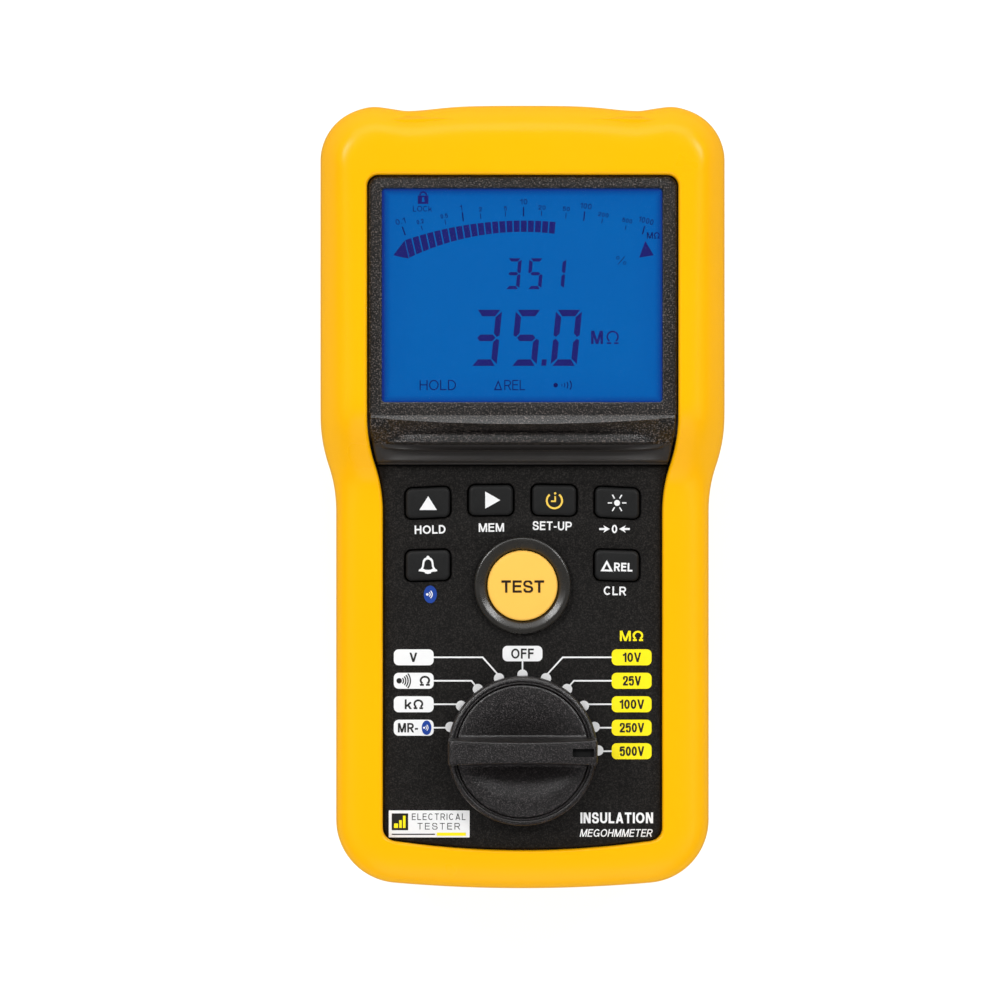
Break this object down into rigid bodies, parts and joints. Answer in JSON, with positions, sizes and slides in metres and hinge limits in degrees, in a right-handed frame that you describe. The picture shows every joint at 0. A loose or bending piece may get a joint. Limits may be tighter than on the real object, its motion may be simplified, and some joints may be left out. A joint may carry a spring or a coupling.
{
  "type": "insulation resistance tester",
  "caption": "Handheld insulation tester in a waisted elastomer sheath: backlit display under a stepped hood, rubber keys, round test button, rotary range selector, safety jacks on the top end.",
  "frame": {"origin": "centre of the outline on the plane of the four rubber feet, the instrument lying on its back", "axes": "+X to the right of the display, +Y towards the terminal end above the display, +Z out of the display"},
  "size_m": [0.108, 0.211, 0.06],
  "materials": {
    "sheath_elastomer": "satin moulded elastomer",
    "case_black": "fine grain",
    "panel_black": "fine grain with printed legends",
    "knob_black": "fine grain",
    "collar_black": "satin gloss",
    "button_orange": "satin",
    "key_rubber": "matte",
    "clear_window": "clear hard-coated",
    "lcd_blue": "display glass",
    "backlight_white": "diffusing",
    "frame_grey": "moulded",
    "seal_rubber": "matte",
    "foot_rubber": "matte",
    "board_green": "solder mask",
    "component_black": "moulded",
    "component_yellow": "taped winding",
    "aluminium_can": "drawn",
    "steel": "zinc plated",
    "spring_steel": "nickel plated",
    "contact_brass": "nickel or gold flashed",
    "jack_red": "moulded",
    "jack_black": "moulded",
    "fuse_ceramic": "glazed",
    "magnet": "nickel plated",
    "cell_jacket": "printed sleeve",
    "label_silver": "plain"
  },
  "bodies": {
    "housing": {"backlight_panel": "backlight_white", "battery_cells": "cell_jacket", "battery_contacts": "spring_steel", "battery_springs": "spring_steel", "board_connector": "component_black", "board_screws": "steel", "buzzer": "component_black", "case_gasket": "seal_rubber", "case_screws": "steel", "control_faceplate": "panel_black", "detent_ring": "frame_grey", "display_bezel": "case_black", "display_board": "board_green", "display_window": "clear_window", "front_case": "case_black", "fuse_clips": "contact_brass", "fuse_link": "fuse_ceramic", "high_voltage_transformer": "component_yellow", "jack_contacts": "contact_brass", "jack_sleeve_common": "jack_black", "jack_sleeve_positive": "jack_red", "key_contact_domes": "spring_steel", "keypad_mat": "key_rubber", "lcd_contact_strips": "seal_rubber", "lcd_holder": "frame_grey", "lcd_panel": "lcd_blue", "main_board": "board_green", "power_board": "board_green", "power_board_spacers": "contact_brass", "probe_socket": "component_black", "probe_socket_contacts": "contact_brass", "processor_chips": "component_black", "protective_sheath": "sheath_elastomer", "rating_label": "label_silver", "rear_case": "case_black", "rear_magnets": "magnet", "relays": "component_black", "rubber_feet": "foot_rubber", "shaft_seal": "seal_rubber", "smoothing_capacitors": "aluminium_can", "terminal_block": "case_black", "test_button_collar": "collar_black", "wireless_module": "aluminium_can"},
    "selector": {"rotary_knob": "knob_black", "switch_rotor": "frame_grey", "knob_screw": "steel", "detent_plungers": "spring_steel", "wiper_contacts": "contact_brass"},
    "test_button": {"test_button": "button_orange"},
    "battery_cover": {"battery_cover": "case_black", "stand_hinge_pins": "steel"},
    "cover_screw_left": {"cover_screw_left": "steel"},
    "cover_screw_right": {"cover_screw_right": "steel"},
    "tilt_stand": {"tilt_stand": "case_black"},
    "key_alarm_link": {"key_alarm_link": "key_rubber"},
    "key_backlight_zero": {"key_backlight_zero": "key_rubber"},
    "key_delta_clear": {"key_delta_clear": "key_rubber"},
    "key_right_mem": {"key_right_mem": "key_rubber"},
    "key_timer_setup": {"key_timer_setup": "key_rubber"},
    "key_up_hold": {"key_up_hold": "key_rubber"}
  },
  "joints": [
    {"name": "selector_turn", "type": "hinge", "parent": "housing", "child": "selector", "pos_m": [0, -0.0679, 0.0471], "axis": [0, 0, 1], "range_deg": [0, 162]},
    {"name": "key_alarm_link_press", "type": "slide", "parent": "housing", "child": "key_alarm_link", "axis": [0, 0, -1], "range_m": [0, 0.001], "stiffness_N_per_m": 800, "springref_m": -0.0005},
    {"name": "key_backlight_zero_press", "type": "slide", "parent": "housing", "child": "key_backlight_zero", "axis": [0, 0, -1], "range_m": [0, 0.001], "stiffness_N_per_m": 800, "springref_m": -0.0005},
    {"name": "key_delta_clear_press", "type": "slide", "parent": "housing", "child": "key_delta_clear", "axis": [0, 0, -1], "range_m": [0, 0.001], "stiffness_N_per_m": 800, "springref_m": -0.0005},
    {"name": "key_right_mem_press", "type": "slide", "parent": "housing", "child": "key_right_mem", "axis": [0, 0, -1], "range_m": [0, 0.001], "stiffness_N_per_m": 800, "springref_m": -0.0005},
    {"name": "key_timer_setup_press", "type": "slide", "parent": "housing", "child": "key_timer_setup", "axis": [0, 0, -1], "range_m": [0, 0.001], "stiffness_N_per_m": 800, "springref_m": -0.0005},
    {"name": "key_up_hold_press", "type": "slide", "parent": "housing", "child": "key_up_hold", "axis": [0, 0, -1], "range_m": [0, 0.001], "stiffness_N_per_m": 800, "springref_m": -0.0005},
    {"name": "test_button_press", "type": "slide", "parent": "housing", "child": "test_button", "axis": [0, 0, -1], "range_m": [0, 0.0016], "stiffness_N_per_m": 900, "springref_m": -0.0007},
    {"name": "battery_cover_lift", "type": "slide", "parent": "housing", "child": "battery_cover", "axis": [0, 0, -1], "range_m": [0, 0.03]},
    {"name": "cover_screw_left_turn", "type": "hinge", "parent": "battery_cover", "child": "cover_screw_left", "pos_m": [-0.024, -0.078, 0.0016], "axis": [0, 0, -1], "range_deg": [0, 90]},
    {"name": "cover_screw_right_turn", "type": "hinge", "parent": "battery_cover", "child": "cover_screw_right", "pos_m": [0.024, -0.078, 0.0016], "axis": [0, 0, -1], "range_deg": [0, 90]},
    {"name": "tilt_stand_swing", "type": "hinge", "parent": "battery_cover", "child": "tilt_stand", "pos_m": [0, 0.016, 0.0036], "axis": [1, 0, 0], "range_deg": [0, 100]}
  ]
}
